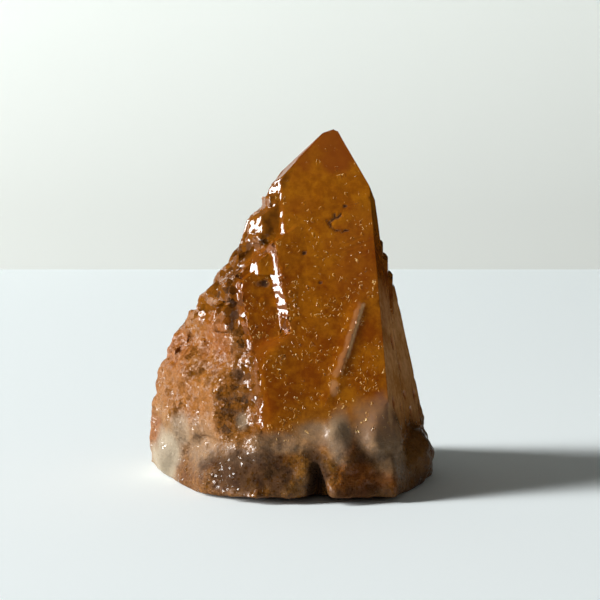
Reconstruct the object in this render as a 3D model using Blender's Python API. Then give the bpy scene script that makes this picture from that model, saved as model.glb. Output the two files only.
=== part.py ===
"""Dogtooth calcite: one broken-off honey calcite point with a stepped flank.

The specimen is a single piece. A steep six-sided crystal stands on a broken foot.
Smaller crystals of the same form have grown in parallel along its left flank, so
that flank climbs in steps, and a few more stand on its front, right edge and back.
Lengths are written in millimetres and turned to metres as each body is made.
"""

import math
import random

import bmesh
import bpy
from mathutils import Matrix, Vector, noise

MM = 0.001
SEED = 11

# The whole piece stands on a flat break at Z = 0, with its front towards -Y.
HEIGHT = 69.6
APEX = Vector((8.7, 1.0, HEIGHT))
SHOULDER = Vector((6.1, 1.4, 68.9))
STOCK = 200.0
SHORTEST_EDGE = 0.04

# The crystal form: steep faces in three pairs, about 40 degrees apart in a pair.
# Each face is (compass angle of its outward side from +X, lean back from upright).
FRONT = (-92.0, 19.0)
FRONT_LEFT = (-131.0, 12.0)
RIGHT = (-18.0, 10.5)
BACK_RIGHT = (28.0, 14.0)
BACK = (100.0, 15.5)
LOWER_BACK = (92.0, 18.5)
BACK_LEFT = (147.0, 16.0)
TOP_LEFT = (-163.0, 45.0)
TOP_RIGHT = (12.0, 26.5)
TIP_CHIP = (-170.0, 72.0)
DOWN = (0.0, -90.0)
CRYSTAL_BOTTOM = 2.5

# Points that the main crystal's faces pass through.
FRONT_RIDGE = Vector((-1.4, -3.1, 58.0))
UPPER_RIGHT = Vector((18.0, 1.0, 45.0))
UPPER_RIGHT_SIDE = (-3.0, 8.5)
UPPER_BACK_RIGHT = (28.0, 9.0)

# The second crystal, behind the right ridge: its ridge, its outer edge and its top, the
# face on its top and the hidden face on its left, and how far behind its faces lie.
RIGHT_RIDGE = Vector((17.7, -13.0, 28.0))
RIGHT_EDGE = Vector((22.7, 3.0, 28.0))
RIGHT_TOP = Vector((20.0, 1.0, 38.6))
RIGHT_ROOF = (-10.0, 34.0)
RIGHT_INNER = (188.0, 6.0)
RIGHT_BEHIND = 0.15
RIGHT_THINNER = 0.6

# The stepped left flank: the outermost corner of each step, as X, Y and Z, and the
# lean of the step's steep sides. Below them: the length of a step, its tread, how far
# its steep sides turn to one side or the other, how far its front lies behind the main
# crystal's, its roof, its back, and its hidden right face.
STEP_TIPS = (
    (-3.8, 0.4, 57.9, 12.0),
    (-5.4, 0.8, 55.9, 14.0),
    (-8.9, 1.4, 51.4, 12.0),
    (-12.5, 2.0, 44.0, 12.0),
    (-15.1, 2.4, 40.7, 15.0),
    (-18.6, 2.8, 36.0, 13.0),
    (-21.4, 3.0, 31.2, 8.0),
    (-24.3, 3.2, 27.2, 10.0),
    (-27.3, 3.4, 21.4, 2.0),
    (-28.2, 3.6, 15.2, 3.0),
    (-28.7, 3.8, 9.2, 1.0),
)
STEP_LENGTH = 11.0
STEP_TREAD = (188.0, 50.0)
STEP_TURN = 13.0
STEP_BEHIND = (2.0, 3.2)
STEP_ROOF = (-128.0, 38.0)
STEP_ROOF_AT = Vector((0.4, -0.9, 0.8))
STEP_BACK = -0.4
STEP_RIGHT = (-18.0, 26.0)
STEP_SHORT = (3.0, 11.0)

# Crystals beside the front ridge, each with one narrow face turned to the left. The
# ridge's top as X and Z, the narrow face's lean and width, the height, and how far the
# crystal's front lies behind the main one's.
RIDGE_CRYSTALS = (
    (-3.4, 56.6, 9.0, 2.2, 2.2, 0.5),
    (-5.9, 52.6, 10.0, 3.2, 3.6, 0.6),
    (-6.5, 49.1, 10.0, 3.2, 1.6, 0.7),
    (-3.3, 47.8, 7.4, 3.4, 24.0, -0.3),
    (-6.7, 44.0, 9.0, 1.6, 2.4, 0.6),
    (-10.0, 40.0, 7.4, 2.8, 22.0, 1.2),
    (-12.6, 39.9, 9.0, 2.2, 3.6, 2.0),
    (-13.2, 35.0, 9.0, 2.4, 4.5, 2.4),
    (-6.7, 26.4, 8.0, 3.2, 20.0, -0.48),
)
RIDGE_FRONT = (-89.0, 19.0)
RIDGE_FACE = -131.0
RIDGE_SIDE = (166.0, 7.0)
RIDGE_TOP = (-146.0, 52.0)
RIDGE_DEPTH = 2.6
RIDGE_END = 3.4

# Small crystals in parallel on the flank: rows down the flank, columns round it. None
# stands on the flank's outer edge below EDGE_BOTTOM. A corner between two of their faces
# looks along a compass angle, with half the angle between those faces. Low down they are
# calmer, and they follow the swelling of the flank's middle: how far it swells, at which
# height it swells most, and how far above and below that it ends.
FLANK_TOP = 56.0
FLANK_BOTTOM = 8.0
EDGE_BOTTOM = 20.0
FLANK_ROW = 2.5
FRONT_COLUMNS = 4
BACK_COLUMNS = 2
FLANK_LINE = ((57.9, -3.5, 0.4), (40.7, -14.6, 2.4), (21.4, -26.8, 3.4), (3.0, -28.4, 3.6))
SHARP_CORNER = (-112.0, 19.5)
BLUNT_CORNER = (188.0, 41.0)
BACK_CORNER = (124.0, 21.0)
REAR_CORNER = (100.0, 30.0)
FLANK_OUT = 2.1
FLANK_WIDTH = (1.8, 4.2)
BACK_OUT = 1.2
BACK_WIDTH = (2.6, 5.0)
BEHIND_FRONT = (1.2, 2.6)
CALM_BELOW = 26.0
CALM_OUT = 0.9
BULGE = 2.8
BULGE_LEVEL = 14.0
BULGE_REACH = 17.0

# A small crystal's shape: how deep it is rooted, its length for each millimetre of
# width, how far it turns to one side or the other, the lean of its steep faces and of
# its top, its two hidden sides, and the share of its width on each side of its corner.
SMALL_DEPTH = 4.2
SMALL_LENGTH = 4.2
SMALL_TURN = (7.0, 16.0)
SMALL_STEEP = (1.0, 9.0)
SMALL_TREAD = (44.0, 60.0)
SMALL_SIDE = (96.0, 3.0)
SMALL_SHARE = (0.3, 0.7)

# Wider crystals on the back: how many, the lowest, the height of a row, where their
# middle is, as X, and how far they spread for each millimetre below the apex.
REAR_COUNT = 16
REAR_LOWEST = 10.0
REAR_ROW = 3.0
REAR_MIDDLE = 7.0
REAR_SPREAD = 0.26

# Low steps down the right edge: top corner as X and Z, and width. They lie at one Y.
EDGE_DEPTH = -2.0
EDGE_CRYSTALS = (
    (16.95, 49.9, 1.6),
    (17.9, 46.4, 1.8),
    (18.9, 43.3, 2.2),
    (19.9, 39.6, 2.4),
)

# Low crystals on the front face: top right corner as X and Z, width and height, slant
# from upright, how far their face turns to the left, and how far they stand out.
FRONT_CRYSTALS = (
    (13.8, 36.2, 2.2, 14.6, 17.0, 22.0, 0.8),
    (9.4, 21.6, 2.8, 4.4, 38.0, 24.0, 0.6),
)

# The broken foot: its outline on the ground, as X and Y, going round from the right.
FOOT_OUTLINE = (
    (28.4, 0.6), (25.6, -10.0), (22.0, -17.2), (16.1, -23.4), (9.6, -25.2), (4.6, -23.8),
    (-0.3, -25.0), (-7.5, -24.6), (-12.2, -22.4), (-17.4, -17.0), (-23.6, -6.2),
    (-28.4, 3.6), (-27.0, 11.0), (-20.0, 17.0), (-9.0, 21.4), (4.0, 25.6), (14.5, 25.4),
    (23.0, 20.0), (28.0, 10.0),
)
FOOT_CENTRE = Vector((0.0, -1.0, 0.0))
FOOT_LEVELS = (-9.0, 17.0)
FOOT_LEAN = 0.33
FOOT_LUMP = 7.0
FOOT_ROUGH = 1.4
FOOT_CHIPS = 0.2

# Lobes of clear calcite that stand out of the broken zone: centre, radii and chips.
LOBES = (
    ((8.4, -16.8, 9.0), (3.4, 4.2, 7.0), 40),
    ((16.0, -15.4, 9.0), (5.8, 5.4, 8.6), 44),
    ((-23.6, 0.6, 5.0), (4.6, 6.4, 6.0), 40),
    ((22.8, -3.0, 4.8), (5.6, 8.0, 6.4), 40),
    ((14.0, 15.4, 6.0), (8.0, 7.6, 8.0), 36),
    ((-10.0, 13.2, 6.0), (8.4, 6.6, 8.0), 36),
)

# The lumpy lower flank, which hides where its long crystals start: centre and radii.
LOWER_FLANK = (Vector((-9.0, 1.8, 8.0)), Vector((17.8, 14.0, 24.0)))

# Clefts broken into the foot: mouth as X, Y and Z, width, depth, height and compass.
CLEFTS = (
    (4.9, -24.4, 2.0, 4.6, 6.4, 9.0, -94.0),
    (3.0, 24.6, 2.0, 5.0, 4.0, 6.5, 86.0),
)

# The foot's front edge stands clear of the ground: where the gap starts, as Y, how
# steeply it opens, and its ends, as X.
GAP_START = -14.0
GAP_OPENING = 8.0
GAP_ENDS = (-19.0, 19.0)


def outward(face):
    """The unit vector that a face of the form looks along."""
    compass, lean = map(math.radians, face)
    return Vector((math.cos(lean) * math.cos(compass),
                   math.cos(lean) * math.sin(compass),
                   math.sin(lean)))


def new_collection(name, hidden):
    made = bpy.data.collections.new(name)
    made.hide_render = hidden
    bpy.context.scene.collection.children.link(made)
    return made


def new_object(name, bm, home):
    """Turns a bmesh in millimetres into an object in metres."""
    bmesh.ops.recalc_face_normals(bm, faces=bm.faces[:])
    bm.transform(Matrix.Scale(MM, 4))
    mesh = bpy.data.meshes.new(name)
    bm.to_mesh(mesh)
    bm.free()
    made = bpy.data.objects.new(name, mesh)
    home.objects.link(made)
    return made


def keep_inside(bm, point, normal):
    """Slices everything off beyond a plane and closes the cut with one flat face."""
    everything = bm.verts[:] + bm.edges[:] + bm.faces[:]
    cut = bmesh.ops.bisect_plane(bm, geom=everything, plane_co=point,
                                 plane_no=normal, clear_outer=True)
    rim = [part for part in cut["geom_cut"] if isinstance(part, bmesh.types.BMEdge)]
    if rim:
        bmesh.ops.contextual_create(bm, geom=rim)


def flat_faced_body(name, centre, planes, home):
    """A convex body: a block of stock round centre, sliced by (point, normal) planes."""
    bm = bmesh.new()
    bmesh.ops.create_cube(bm, size=STOCK, matrix=Matrix.Translation(centre))
    for point, normal in planes:
        keep_inside(bm, point, normal)
    bmesh.ops.remove_doubles(bm, verts=bm.verts[:], dist=SHORTEST_EDGE)
    body = new_object(name, bm, home)
    body.display_type = "WIRE"
    return body


def crystal(name, centre, faces, home):
    """A body whose planes are faces of the form, each given as (face, point on it)."""
    planes = [(point, outward(face)) for face, point in faces]
    return flat_faced_body(name, centre, planes, home)


def main_crystal(home):
    foot = Vector((0.0, 0.0, CRYSTAL_BOTTOM))
    faces = (
        (FRONT, APEX),
        (TIP_CHIP, APEX),
        (TOP_LEFT, SHOULDER),
        (TOP_RIGHT, APEX),
        (BACK, APEX),
        (FRONT_LEFT, FRONT_RIDGE),
        (BACK_LEFT, Vector(STEP_TIPS[0][:3])),
        (UPPER_RIGHT_SIDE, UPPER_RIGHT),
        (RIGHT, RIGHT_RIDGE + Vector((RIGHT_BEHIND, 0.0, 0.0))),
        (UPPER_BACK_RIGHT, UPPER_RIGHT),
        (DOWN, foot),
    )
    made = crystal("calcite_crystal", Vector((0.0, 0.0, HEIGHT / 2)), faces, home)
    made.display_type = "TEXTURED"
    return made


def right_crystal(home):
    """The second large crystal, whose right face starts half way up the right ridge."""
    inside = RIGHT_RIDGE + Vector((-4.0, 9.0, 0.0))
    faces = (
        (FRONT, APEX + Vector((0.0, RIGHT_BEHIND, 0.0))),
        (RIGHT, RIGHT_RIDGE),
        (BACK_RIGHT, RIGHT_EDGE),
        (RIGHT_ROOF, RIGHT_TOP),
        (LOWER_BACK, APEX - Vector((0.0, RIGHT_THINNER, 0.0))),
        (RIGHT_INNER, inside - Vector((9.5, 0.0, 0.0))),
        (DOWN, Vector((0.0, 0.0, CRYSTAL_BOTTOM - 1.5))),
    )
    crystal("right crystal", inside, faces, home)


def flank_steps(home):
    """The long steps: each is a crystal in parallel, farther out and lower than the last."""
    chance = random.Random(SEED)
    for number, (x, y, z, lean) in enumerate(STEP_TIPS):
        tip = Vector((x, y, z))
        bottom = Vector((0.0, 0.0, max(z - STEP_LENGTH, CRYSTAL_BOTTOM - 1.0)))
        turn = chance.choice((-1.0, 1.0)) * chance.uniform(0.7, 1.2) * STEP_TURN
        layer = chance.uniform(*STEP_BEHIND)
        width = chance.uniform(*STEP_SHORT)
        faces = (
            (FRONT, APEX + Vector((0.0, layer, 0.0))),
            ((FRONT_LEFT[0] + turn, lean), tip),
            ((BACK_LEFT[0] + 0.5 * turn, lean + 2.0), tip),
            (BACK, APEX + Vector((0.0, STEP_BACK, 0.0))),
            ((STEP_TREAD[0] + turn, STEP_TREAD[1]), tip),
            ((STEP_ROOF[0] + 0.6 * turn, STEP_ROOF[1]), tip + STEP_ROOF_AT),
            (STEP_RIGHT, RIGHT_RIDGE + Vector((-width, 0.0, 0.5 * (z - RIGHT_RIDGE.z)))),
            (BACK_RIGHT, RIGHT_EDGE - Vector((9.0, 0.0, 0.0))),
            (DOWN, bottom),
        )
        crystal(f"step {number}", tip + Vector((2.0, -0.5, -4.0)), faces, home)


def flank_corner(z):
    """The flank's outer edge at a height, between the points of FLANK_LINE."""
    for (z1, x1, y1), (z0, x0, y0) in zip(FLANK_LINE, FLANK_LINE[1:]):
        if z >= z0:
            share = (z - z0) / (z1 - z0)
            return Vector((x0 + share * (x1 - x0), y0 + share * (y1 - y0), z))
    return Vector((x0, y0, z))


def front_of(z, x=APEX.x):
    """How far forward the main crystal's front face is at a height and a place across."""
    across, ahead, upward = outward(FRONT)
    return APEX.y + (across * (APEX.x - x) + upward * (HEIGHT - z)) / ahead


def back_of(z, face=BACK):
    """How far back a back face is at a height."""
    return APEX.y + (HEIGHT - z) * math.tan(math.radians(face[1]))


def small_crystal(name, tip, corner, width, reach, home, chance):
    """A little crystal with its highest outer point at tip, swallowed lower down."""
    look = corner[0] + chance.choice((-1.0, 1.0)) * chance.uniform(*SMALL_TURN)
    spread = corner[1] + chance.uniform(-3.0, 3.0)
    steep = chance.uniform(*SMALL_STEEP)
    tread = chance.uniform(*SMALL_TREAD)
    ahead = outward((look, 0.0))
    aside = outward((look + 90.0, 0.0))
    around, upright = SMALL_SIDE
    faces = [
        ((look - spread, steep), tip),
        ((look + spread, steep + chance.uniform(-2.0, 2.0)), tip),
        ((look + chance.uniform(-25.0, 25.0), tread), tip),
        ((look + chance.choice((-70.0, 70.0)), tread + 12.0), tip),
    ]
    for side in (1.0, -1.0):
        half = min(chance.uniform(*SMALL_SHARE) * width, reach)
        faces.append(((look + side * around, upright), tip + side * half * aside))
    faces.append(((look + 180.0, 0.0), tip - SMALL_DEPTH * ahead))
    faces.append((DOWN, tip - Vector((0.0, 0.0, SMALL_LENGTH * width))))
    inside = tip - 0.4 * width * ahead - Vector((0.0, 0.0, 0.8 * width))
    crystal(name, inside, faces, home)


def bulge(z):
    """How far the middle of the flank swells out at a height."""
    return BULGE * max(0.0, 1.0 - abs(z - BULGE_LEVEL) / BULGE_REACH)


def second_ridge(z):
    """How far right the crowded flank reaches at a height: to the ridge crystals."""
    places = [(x - width, z0, height) for x, z0, _, width, height, _ in RIDGE_CRYSTALS]
    near = [x for x, z0, height in places if z0 - height <= z <= z0 + 1.5]
    return min(near, default=0.0)


def flank_crystals(home):
    """Rows of little crystals down the flank, which break the long steps up."""
    chance = random.Random(SEED)
    rows = int((FLANK_TOP - FLANK_BOTTOM) / FLANK_ROW)
    for row in range(rows):
        for column in range(FRONT_COLUMNS):
            z = FLANK_TOP - FLANK_ROW * (row + chance.uniform(0.0, 1.0))
            edge = flank_corner(z)
            share = (column + chance.uniform(0.15, 0.85)) / FRONT_COLUMNS
            along = (edge.y - front_of(z)) * share
            proud = FLANK_OUT if z > CALM_BELOW else CALM_OUT
            out = chance.uniform(0.1, proud) * min(1.0, 0.25 + 1.5 * share)
            out += bulge(z) * 4.0 * share * (1.0 - share)
            tip = edge + Vector((1.15 * along - 0.65 * out, -along - 0.75 * out, 0.0))
            tip.y = max(tip.y, front_of(z, tip.x) + chance.uniform(*BEHIND_FRONT))
            corner = BLUNT_CORNER if share < 0.25 else SHARP_CORNER
            width = chance.uniform(*FLANK_WIDTH)
            if tip.x > second_ridge(z) - 1.0 or (z < EDGE_BOTTOM and share < 0.3):
                continue
            name = f"flank {row}.{column}"
            small_crystal(name, tip, corner, width, along + 0.5, home, chance)
        for column in range(BACK_COLUMNS):
            z = FLANK_TOP - FLANK_ROW * (row + chance.uniform(0.0, 1.0))
            edge = flank_corner(z)
            share = (column + chance.uniform(0.2, 0.9)) / BACK_COLUMNS
            along = (back_of(z) - edge.y) * share
            out = chance.uniform(0.0, BACK_OUT)
            tip = edge + Vector((0.65 * along - 0.8 * out, along + 0.5 * out, 0.0))
            width = chance.uniform(*BACK_WIDTH)
            if z < EDGE_BOTTOM:
                continue
            name = f"back {row}.{column}"
            small_crystal(name, tip, BACK_CORNER, width, along + 0.5, home, chance)


def ridge_crystals(home):
    """Crystals in parallel beside the front ridge, with narrow bright left faces."""
    back = outward((RIDGE_FACE - 90.0, 0.0))
    for number, (x, z, lean, width, height, behind) in enumerate(RIDGE_CRYSTALS):
        top = Vector((x, front_of(z, x) + behind, z))
        faces = (
            (RIDGE_FRONT, top),
            ((RIDGE_FACE, lean), top),
            (RIDGE_SIDE, top + width * back),
            (RIDGE_TOP, top),
            ((0.0, 0.0), Vector((RIDGE_END + 0.17 * number, 0.0, 0.0))),
            ((90.0, 0.0), top + Vector((0.0, RIDGE_DEPTH, 0.0))),
            (DOWN, top - Vector((0.0, 0.0, height))),
        )
        middle = top + Vector((0.8, 0.5 * RIDGE_DEPTH, -0.5 * height))
        crystal(f"ridge {number}", middle, faces, home)


def back_crystals(home):
    """A few wider crystals on the back face, one above another."""
    chance = random.Random(SEED + 2)
    for number in range(REAR_COUNT):
        z = REAR_LOWEST + REAR_ROW * (number + chance.uniform(-0.5, 0.5))
        x = REAR_MIDDLE + REAR_SPREAD * (HEIGHT - z) * chance.uniform(-1.0, 0.8)
        tip = Vector((x, back_of(z, LOWER_BACK) + chance.uniform(-0.2, 0.9), z))
        width = chance.uniform(3.0, 8.0)
        small_crystal(f"rear {number}", tip, REAR_CORNER, width, width, home, chance)


def edge_crystals(home):
    """Low steps down the right edge."""
    for number, (x, z, width) in enumerate(EDGE_CRYSTALS):
        tip = Vector((x, EDGE_DEPTH, z))
        faces = (
            (FRONT, tip),
            ((-4.0, 2.0), tip),
            ((20.0, 6.0), tip + Vector((0.0, 2.0 * width, 0.0))),
            ((-20.0, 52.0), tip),
            ((180.0, 0.0), tip - Vector((3.0, 0.0, 0.0))),
            ((90.0, 0.0), tip + Vector((0.0, 2.0 * width, 0.0))),
            (DOWN, tip - Vector((0.0, 0.0, 2.6 * width))),
        )
        middle = tip + Vector((-1.0, 2.0, -width))
        crystal(f"edge {number}", middle, faces, home)


def front_crystals(home):
    """Low crystals on the front face, each with its long face turned a little left."""
    normal = outward(FRONT)
    across = Vector((0.0, 0.0, 1.0)).cross(normal).normalized()
    down = across.cross(normal).normalized()
    if down.z > 0:
        down = -down
    for number, size in enumerate(FRONT_CRYSTALS):
        x, z, width, height, slant, turn, proud = size
        slant = math.radians(slant)
        along = math.cos(slant) * down - math.sin(slant) * across
        side = math.cos(slant) * across + math.sin(slant) * down
        corner = Vector((x, front_of(z, x), z)) + proud * normal
        turn = math.radians(turn)
        planes = (
            (corner, math.cos(turn) * normal - math.sin(turn) * side),
            (corner, (side + 0.25 * normal).normalized()),
            (corner - width * side, (0.6 * normal - side).normalized()),
            (corner, (0.5 * normal - along).normalized()),
            (corner + height * along, (along + 0.8 * normal).normalized()),
            (corner - 4.0 * normal, -normal),
        )
        middle = corner + 0.5 * height * along - 0.5 * width * side - 2.0 * normal
        flat_faced_body(f"front {number}", middle, planes, home)


def foot_radius(angle):
    """How far the foot's outline is from its centre, looking along an angle."""
    corners = []
    for x, y in FOOT_OUTLINE:
        arm = Vector((x, y, 0.0)) - FOOT_CENTRE
        corners.append((math.atan2(arm.y, arm.x) % math.tau, arm.length))
    corners.sort()
    first, last = corners[0], corners[-1]
    corners = [(last[0] - math.tau, last[1]), *corners, (first[0] + math.tau, first[1])]
    for (a0, r0), (a1, r1) in zip(corners, corners[1:]):
        if angle <= a1:
            return r0 + (r1 - r0) * (angle - a0) / (a1 - a0)
    return last[1]


def lumpiness(point):
    """Rounded lumps with creases between them, in two sizes, from -1 to about 1."""
    large = noise.voronoi(point / FOOT_LUMP)[0][0]
    small = noise.voronoi(point / (0.45 * FOOT_LUMP) + Vector((7.0, 3.0, 5.0)))[0][0]
    return 1.0 - 2.0 * large + 0.4 * (0.6 - small)


def lumpy_body(name, place, home):
    """A rough body: a ball whose points are moved by place(), roughened and chipped."""
    bm = bmesh.new()
    bmesh.ops.create_icosphere(bm, subdivisions=5, radius=1.0)
    for vert in bm.verts:
        ray = vert.co.copy()
        point = place(ray)
        push = Vector((ray.x, ray.y, 0.6 * ray.z)).normalized() * FOOT_ROUGH
        vert.co = point + push * lumpiness(point)
    body = new_object(name, bm, home)
    body.display_type = "WIRE"
    chips = body.modifiers.new("chips", "DECIMATE")
    chips.ratio = FOOT_CHIPS


def on_foot(ray):
    """Where a point of a ball goes on the foot, which is flatter than a ball."""
    low, high = FOOT_LEVELS
    angle = math.atan2(ray.y, ray.x) % math.tau
    z = low + (high - low) * (ray.z + 1.0) / 2.0
    level = max(1.0 - ray.z * ray.z, 0.0) ** 0.24
    reach = level * (foot_radius(angle) - FOOT_LEAN * max(z, 0.0))
    return FOOT_CENTRE + Vector((math.cos(angle) * reach, math.sin(angle) * reach, z))


def on_lower_flank(ray):
    centre, radii = LOWER_FLANK
    return centre + Vector((ray.x * radii.x, ray.y * radii.y, ray.z * radii.z))


def broken_lump(name, centre, radii, chips, home, chance):
    """A chipped lump: stock sliced by flat chips that touch an ellipsoid."""
    centre = Vector(centre)
    planes = []
    for chip in range(chips):
        height = 1.0 - 2.0 * (chip + 0.5) / chips
        turn = math.radians(137.508 * chip) + chance.uniform(-0.3, 0.3)
        level = math.sqrt(1.0 - height * height)
        ray = (level * math.cos(turn), level * math.sin(turn), height)
        touch = Vector([r * k for r, k in zip(radii, ray)]) * chance.uniform(0.86, 1.0)
        normal = Vector([k / r for r, k in zip(radii, ray)]).normalized()
        planes.append((centre + touch, normal))
    flat_faced_body(name, centre, planes, home)


def lobes(home):
    chance = random.Random(SEED + 1)
    for number, (centre, radii, chips) in enumerate(LOBES):
        broken_lump(f"lobe {number}", centre, radii, chips, home, chance)


def clefts(home):
    """Wedges to be taken out of the foot: wide at the mouth and closing inwards."""
    for number, (x, y, z, width, depth, height, compass) in enumerate(CLEFTS):
        mouth = Vector((x, y, z))
        ahead = outward((compass, 0.0))
        aside = outward((compass + 90.0, 0.0))
        opening = math.degrees(math.atan2(width / 2.0, depth))
        end = mouth - depth * ahead
        planes = (
            (end + 0.2 * aside, outward((compass + 90.0 + opening, 14.0))),
            (end - 0.2 * aside, outward((compass - 90.0 - opening, 7.0))),
            (mouth + Vector((0.0, 0.0, height - z)), outward((compass + 180.0, 62.0))),
            (mouth + 6.0 * ahead, ahead),
            (end, -ahead),
            (Vector((0.0, 0.0, -3.0)), outward(DOWN)),
        )
        flat_faced_body(f"cleft {number}", mouth - 0.5 * depth * ahead, planes, home)


def front_gap(home):
    """The wedge that lifts the foot's front edge off the ground."""
    start = Vector((0.0, GAP_START, 0.0))
    left, right = GAP_ENDS
    planes = (
        (start, outward((90.0, 90.0 - GAP_OPENING))),
        (Vector((left, 0.0, 0.0)), outward((155.0, 35.0))),
        (Vector((right, 0.0, 0.0)), outward((25.0, 35.0))),
        (start - Vector((0.0, 30.0, 0.0)), outward((-90.0, 0.0))),
        (Vector((0.0, 0.0, -3.0)), outward(DOWN)),
    )
    flat_faced_body("front gap", start - Vector((0.0, 8.0, 0.5)), planes, home)


def clear_scene():
    for thing in list(bpy.data.objects):
        bpy.data.objects.remove(thing, do_unlink=True)


def join_all(whole, bodies):
    """Grows every body in a collection into one solid."""
    union = whole.modifiers.new("grown together", "BOOLEAN")
    union.operation = "UNION"
    union.solver = "EXACT"
    union.operand_type = "COLLECTION"
    union.collection = bodies


def flat_break(home):
    """All that is below the flat break that it stands on."""
    bm = bmesh.new()
    bmesh.ops.create_cube(bm, size=STOCK, matrix=Matrix.Translation((0, 0, -STOCK / 2)))
    ground = new_object("ground", bm, home)
    ground.display_type = "WIRE"


def cut_away(whole, cutters):
    """Takes every body in a collection out of the solid."""
    cut = whole.modifiers.new("broken away", "BOOLEAN")
    cut.operation = "DIFFERENCE"
    cut.solver = "EXACT"
    cut.operand_type = "COLLECTION"
    cut.collection = cutters


def skin_from(vert):
    """Every corner that can be reached along edges from one corner."""
    found = {vert}
    edge_of_search = [vert]
    while edge_of_search:
        here = edge_of_search.pop()
        for edge in here.link_edges:
            there = edge.other_vert(here)
            if there not in found:
                found.add(there)
                edge_of_search.append(there)
    return found


def settle(whole):
    """Applies the joining and cutting, and fills any void sealed between crystals."""
    graph = bpy.context.evaluated_depsgraph_get()
    mesh = bpy.data.meshes.new_from_object(whole.evaluated_get(graph))
    bm = bmesh.new()
    bm.from_mesh(mesh)
    outside = skin_from(max(bm.verts, key=lambda vert: vert.co.z))
    inside = [vert for vert in bm.verts if vert not in outside]
    bmesh.ops.delete(bm, geom=inside, context="VERTS")
    bm.to_mesh(mesh)
    bm.free()
    whole.modifiers.clear()
    whole.data = mesh


def honey_calcite():
    made = bpy.data.materials.new("honey calcite")
    made.use_nodes = True
    shader = made.node_tree.nodes["Principled BSDF"]
    shader.inputs["Base Color"].default_value = (0.39, 0.14, 0.025, 1.0)
    shader.inputs["Roughness"].default_value = 0.25
    shader.inputs["Metallic"].default_value = 0.0
    return made


def main():
    clear_scene()
    specimen = new_collection("dogtooth calcite", False)
    bodies = new_collection("crystals to join", True)
    cutters = new_collection("cutters", True)
    whole = main_crystal(specimen)
    right_crystal(bodies)
    flank_steps(bodies)
    flank_crystals(bodies)
    ridge_crystals(bodies)
    edge_crystals(bodies)
    front_crystals(bodies)
    back_crystals(bodies)
    lumpy_body("foot", on_foot, bodies)
    lumpy_body("lower flank", on_lower_flank, bodies)
    lobes(bodies)
    join_all(whole, bodies)
    clefts(cutters)
    front_gap(cutters)
    flat_break(cutters)
    cut_away(whole, cutters)
    settle(whole)
    whole.data.materials.append(honey_calcite())


main()
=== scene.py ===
# %% [markdown]
# # A dogtooth calcite point
# Dogtooth calcite grows as steep six-sided points, like a dog's tooth. This one is
# honey coloured, because iron stained it as it grew, and it is a single piece: a tall
# point with a stepped left flank, a second crystal along its right side, and a foot
# that was broken off the rock. The solid model comes first and fixes every size. This
# script grows a fine skin over it and gives that skin the look of the mineral.

import math
from functools import partial

import bpy
import numpy as np
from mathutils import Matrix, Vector


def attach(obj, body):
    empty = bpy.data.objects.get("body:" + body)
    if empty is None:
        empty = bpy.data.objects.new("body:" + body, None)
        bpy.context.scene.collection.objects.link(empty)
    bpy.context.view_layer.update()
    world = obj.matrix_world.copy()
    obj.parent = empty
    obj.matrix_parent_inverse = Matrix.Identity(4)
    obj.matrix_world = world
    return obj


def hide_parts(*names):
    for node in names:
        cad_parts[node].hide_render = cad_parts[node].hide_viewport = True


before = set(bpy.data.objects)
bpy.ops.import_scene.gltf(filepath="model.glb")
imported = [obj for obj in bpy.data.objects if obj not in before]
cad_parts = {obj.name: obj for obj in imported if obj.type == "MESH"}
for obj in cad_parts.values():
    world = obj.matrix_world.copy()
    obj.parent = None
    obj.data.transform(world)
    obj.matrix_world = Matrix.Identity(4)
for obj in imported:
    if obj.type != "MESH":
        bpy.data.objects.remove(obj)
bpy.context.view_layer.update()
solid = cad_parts["calcite_crystal"]

# %% [markdown]
# ## Units and colours
# Blender works in metres, but a crystal is easier to think of in millimetres, so the
# relief is worked out in millimetres and scaled once. Colours are written as the hex
# values that a colour picker shows. Shaders want linear light, so one function turns
# each hex value into that.

# %% Units and colours
MM = 0.001


def colour(hex_value):
    """An sRGB hex colour as linear red, green, blue and full alpha."""
    parts = [int(hex_value[i : i + 2], 16) / 255 for i in (1, 3, 5)]
    linear = [c / 12.92 if c <= 0.04045 else ((c + 0.055) / 1.055) ** 2.4 for c in parts]
    return (*linear, 1.0)


HONEY = "#ba7410"
print("honey in linear light:", [round(c, 3) for c in colour(HONEY)])

# %% [markdown]
# ## A fine skin
# The solid model has large flat triangles, and relief needs many small ones. The Remesh
# modifier in its sharp mode lays an even net of about 0.3 mm over the solid and still
# keeps the edges between crystal faces crisp. A voxel remesh would round them all off,
# and subdivision would keep the long thin triangles that the solid has.

# %% Grow the skin
NET_DEPTH = 8
NET_SCALE = 0.72


def applied(part):
    """Swaps the part's mesh for what its modifiers make of it."""
    graph = bpy.context.evaluated_depsgraph_get()
    mesh = bpy.data.meshes.new_from_object(part.evaluated_get(graph))
    part.modifiers.clear()
    part.data = mesh


def grow_skin(source):
    """A copy of the solid with an even net of small faces."""
    grown = bpy.data.objects.new("calcite_skin", source.data.copy())
    bpy.context.scene.collection.objects.link(grown)
    net = grown.modifiers.new("net", "REMESH")
    net.mode = "SHARP"
    net.octree_depth = NET_DEPTH
    net.scale = NET_SCALE
    net.sharpness = 1.0
    net.use_remove_disconnected = True
    applied(grown)
    return grown


skin = grow_skin(solid)
print("skin:", len(skin.data.vertices), "points,", len(skin.data.polygons), "faces")

# %% [markdown]
# ## Reading the skin as arrays
# Moving a hundred thousand points one by one is slow in Python, so their places and
# the way they face are read into arrays, worked on as a whole, and written back. Most
# of the shapes below are made with `ramp`, a rise from 0 to 1 that starts and ends
# softly.

# %% Points and normals
def points_of(mesh):
    """The places of the mesh's points, in mm."""
    flat = np.empty(len(mesh.vertices) * 3)
    mesh.vertices.foreach_get("co", flat)
    return flat.reshape(-1, 3) / MM


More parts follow.
